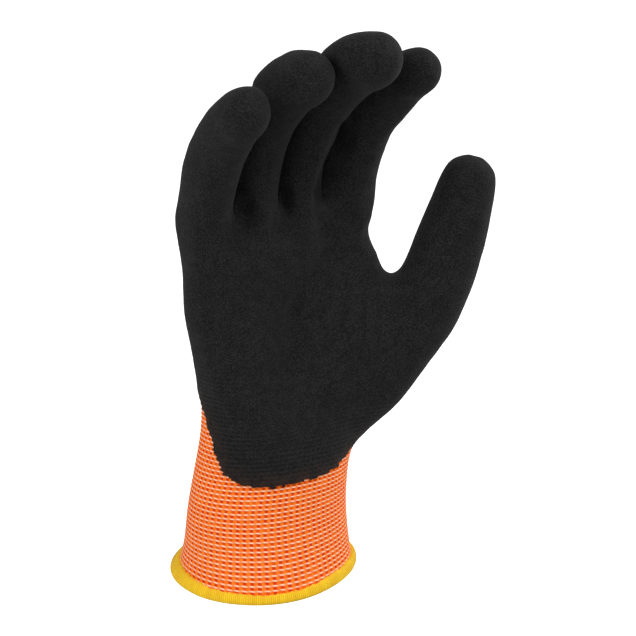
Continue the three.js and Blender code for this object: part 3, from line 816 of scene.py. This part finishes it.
class KnitSettings(bpy.types.PropertyGroup):
    """The knitted liner and its cuff"""

    wale_pairs: bpy.props.IntProperty(
        name="Wale pairs", description="Pairs of stitches round the cuff", default=70, min=8
    )
    course: length("Course", "Height of one row of stitches", 1.85)
    relief: length("Relief", "How far the pale courses stand up", 0.24)
    slant: bpy.props.FloatProperty(
        name="Slant", description="Slant of each pale stitch, in courses", default=0.16
    )
    start: length("Start", "Where the stitches begin, inside the hem", 0.5)
    tuck: length("Tuck", "How far the stitches run up under the coating", 3.0)
    wall_step: length("Wall step", "How far the plain wall lies below the stitches", 0.5)
    orange: color("Orange", "The main yarn", (0.95, 0.155, 0.005))
    orange_light: color("Light orange", "The main yarn where it catches light", (0.98, 0.22, 0.012))
    shaded: color("Shaded", "The cells between the stitches", (0.66, 0.036, 0.001))
    pale: color("Pale", "The plated yarn", (0.98, 0.66, 0.48))


class CoatingSettings(bpy.types.PropertyGroup):
    """The nitrile dip"""

    grains: bpy.props.FloatProperty(
        name="Grains", description="Fineness of the sandy grip, in grains a metre", default=2200
    )
    ripple: length("Ripple", "How far the skin swells and dips", 0.1)
    ripple_span: length("Ripple span", "From one swell to the next", 5.0)
    raggedness: length("Raggedness", "How far the edge strays from the dip line", 1.1)
    edge_reach: length("Edge reach", "How far in the ragged edge pulls the skin", 4.0)
    thinning: length("Thinning", "How much thinner the skin is at its edge", 0.5)
    thin_reach: length("Thin reach", "How far in the skin is thinner", 3.0)
    lip: length("Lip", "How far the edge turns in to the knit", 0.8)
    # Also how far the stitches' painted shade and highlight reach into the coat's colour
    show_through: length("Show-through", "How far from the edge the stitches press through", 32.0)
    stain_reach: length("Stain reach", "How far from the edge the knit tints the skin", 9.0)
    dark: color("Dark", "The nitrile between its grains", (0.0035, 0.0035, 0.0035))
    light: color("Light", "The tops of the grains", (0.0245, 0.0245, 0.0245))
    stained: color("Stained", "The knit seen through the thin edge", (0.05, 0.022, 0.014))


class HemSettings(bpy.types.PropertyGroup):
    """The overlocked hem"""

    pitch: length("Thread pitch", "From one thread to the next", 0.8)
    width: length("Width", "Thickness of the hem's roll", 3.6)
    height: length("Height", "Height of the hem's roll", 4.0)
    offset: length("Offset", "How far the roll's middle lies out from the knit", -0.1)
    drop: length("Drop", "How far the roll hangs below the cuff's edge", 0.6)
    ridge: length("Ridge", "How far each thread stands up", 0.1)
    jag: bpy.props.FloatProperty(name="Jag", description="Unevenness of the upper edge", default=0.25)
    yellow: color("Yellow", "The thread", (0.95, 0.63, 0.016))
    deep: color("Deep yellow", "The thread where it lies deeper", (0.84, 0.49, 0.012))
    shaded: color("Shaded", "Between the threads", (0.42, 0.2, 0.01))


class StudioSettings(bpy.types.PropertyGroup):
    """The studio"""

    floor: length("Floor", "Height of the floor", -260)
    key: bpy.props.FloatProperty(name="Key", description="Key light", default=13, unit="POWER")
    fill: bpy.props.FloatProperty(name="Fill", description="Fill light", default=12.5, unit="POWER")
    side: bpy.props.FloatProperty(name="Side", description="Side light", default=8, unit="POWER")
    surround: bpy.props.FloatProperty(
        name="Surround", description="Even light from all round", default=0.42, min=0
    )
    azimuth: bpy.props.FloatProperty(
        name="Azimuth", description="Camera's bearing", default=math.radians(-34), subtype="ANGLE"
    )
    elevation: bpy.props.FloatProperty(
        name="Elevation", description="Camera's rise", default=math.radians(14), subtype="ANGLE"
    )
    distance: length("Distance", "From the camera to the glove", 1000)
    span: length("Span", "Width of the picture at the glove", 262.8)
    aim: bpy.props.FloatVectorProperty(
        name="Aim",
        description="The point at the picture's middle",
        default=(0.020, -0.012, 0.1095),
        subtype="TRANSLATION",
        unit="LENGTH",
    )


# Operators


class GLOVE_OT_make_liner(bpy.types.Operator):
    """Makes the liner's wall"""

    bl_idname = "glove.make_liner"
    bl_label = "Make Liner"

    def execute(self, context):
        knit = context.scene.glove_knit
        material = knit_material(knit)
        add_piece(make_liner_wall(knit), "liner_wall", material, "knit", "knit_liner")
        return {"FINISHED"}


class GLOVE_OT_make_cuff(bpy.types.Operator):
    """Makes the cuff's knitted face"""

    bl_idname = "glove.make_cuff"
    bl_label = "Make Cuff"

    def execute(self, context):
        knit = context.scene.glove_knit
        material = bpy.data.materials.get("plated knit") or knit_material(knit)
        add_piece(make_knit_cuff(knit), "knit_cuff", material, "knit")
        return {"FINISHED"}


class GLOVE_OT_make_coating(bpy.types.Operator):
    """Makes the nitrile dip"""

    bl_idname = "glove.make_coating"
    bl_label = "Make Coating"

    def execute(self, context):
        coating, knit = context.scene.glove_coating, context.scene.glove_knit
        material = coating_material(coating, knit)
        skin = make_coated_skin(coating, knit)
        add_piece(skin, "coated_skin", material, "nitrile", "nitrile_coating")
        return {"FINISHED"}


class GLOVE_OT_make_hem(bpy.types.Operator):
    """Makes the overlocked hem"""

    bl_idname = "glove.make_hem"
    bl_label = "Make Hem"

    def execute(self, context):
        hem = context.scene.glove_hem
        add_piece(make_hem_roll(hem), "overlocked_hem", hem_material(hem), "hem_thread", "cuff_hem")
        return {"FINISHED"}


class GLOVE_OT_make_studio(bpy.types.Operator):
    """Makes the floor, the lights and the camera"""

    bl_idname = "glove.make_studio"
    bl_label = "Make Studio"

    def execute(self, context):
        studio = context.scene.glove_studio
        lay_floor(studio)
        set_lights(studio)
        set_camera(studio)
        context.scene.view_settings.view_transform = "Standard"
        return {"FINISHED"}


FLOOR_REACH = 12
LAMP_SIZE = 0.8


def lay_floor(studio):
    """A wide plain floor below the glove."""
    floor = bmesh.new()
    bmesh.ops.create_grid(floor, x_segments=1, y_segments=1, size=FLOOR_REACH)
    bmesh.ops.translate(floor, verts=floor.verts, vec=(0, 0, studio.floor))
    mesh = bpy.data.meshes.new("floor")
    floor.to_mesh(mesh)
    floor.free()
    mesh.materials.append(floor_material())
    piece = bpy.data.objects.new("floor", mesh)
    bpy.context.scene.collection.objects.link(piece)


def set_lights(studio):
    """Soft area lights round the glove and an even surround, plain white to the camera."""
    lights = [
        ("key", (-1.4, -0.29, 0.79), studio.key),
        ("fill", (0.49, -0.97, 1.3), studio.fill),
        ("side", (1.47, -0.11, 0.79), studio.side),
    ]
    for name, place, power in lights:
        data = bpy.data.lights.new(name, "AREA")
        data.energy, data.size = power, LAMP_SIZE
        lamp = bpy.data.objects.new(name, data)
        lamp.location = place
        lamp.rotation_euler = (Vector(place) - studio.aim).to_track_quat("Z", "Y").to_euler()
        bpy.context.scene.collection.objects.link(lamp)
    world = bpy.data.worlds.new("studio")
    world.use_nodes = True
    background = world.node_tree.nodes["Background"]
    background.inputs["Color"].default_value = (1, 1, 1, 1)
    seen = put(world.node_tree, "ShaderNodeLightPath").outputs["Is Camera Ray"]
    strength = ramp(world.node_tree, seen, 0, 1, studio.surround, 1)
    world.node_tree.links.new(strength, background.inputs["Strength"])
    bpy.context.scene.world = world


def set_camera(studio):
    """The camera at the photograph's angle."""
    turn, rise = studio.azimuth, studio.elevation
    back = Vector(
        (math.sin(turn) * math.cos(rise), -math.cos(turn) * math.cos(rise), math.sin(rise))
    )
    right = Vector((math.cos(turn), math.sin(turn), 0))
    data = bpy.data.cameras.new("camera")
    data.angle = 2 * math.atan(studio.span / 2 / studio.distance)
    camera = bpy.data.objects.new("camera", data)
    turned = Matrix((right, back.cross(right), back)).transposed().to_4x4()
    camera.matrix_world = Matrix.Translation(studio.aim + back * studio.distance) @ turned
    bpy.context.scene.collection.objects.link(camera)
    bpy.context.scene.camera = camera


# Panel and registration


class GLOVE_PT_pieces(bpy.types.Panel):
    """Lists the glove's pieces and their settings"""

    bl_label = "Glove"
    bl_idname = "GLOVE_PT_pieces"
    bl_space_type = "VIEW_3D"
    bl_region_type = "UI"
    bl_category = "Glove"

    def draw(self, context):
        for name, operators in PANEL_ROWS:
            box = self.layout.box()
            group = getattr(context.scene, name)
            for setting in type(group).__annotations__:
                box.prop(group, setting)
            for operator in operators:
                box.operator(operator)


PANEL_ROWS = [
    ("glove_knit", ["glove.make_liner", "glove.make_cuff"]),
    ("glove_coating", ["glove.make_coating"]),
    ("glove_hem", ["glove.make_hem"]),
    ("glove_studio", ["glove.make_studio"]),
]
SETTINGS = {
    "glove_knit": KnitSettings,
    "glove_coating": CoatingSettings,
    "glove_hem": HemSettings,
    "glove_studio": StudioSettings,
}
CLASSES = [
    *SETTINGS.values(),
    GLOVE_OT_make_liner,
    GLOVE_OT_make_cuff,
    GLOVE_OT_make_coating,
    GLOVE_OT_make_hem,
    GLOVE_OT_make_studio,
    GLOVE_PT_pieces,
]


def register():
    for cls in CLASSES:
        bpy.utils.register_class(cls)
    for name, group in SETTINGS.items():
        setattr(bpy.types.Scene, name, bpy.props.PointerProperty(type=group))


def unregister():
    for name in SETTINGS:
        delattr(bpy.types.Scene, name)
    for cls in reversed(CLASSES):
        bpy.utils.unregister_class(cls)


def main():
    """Makes the glove and its studio."""
    register()
    bpy.ops.glove.make_liner()
    bpy.ops.glove.make_cuff()
    bpy.ops.glove.make_coating()
    bpy.ops.glove.make_hem()
    bpy.ops.glove.make_studio()


if __name__ == "__main__":
    main()
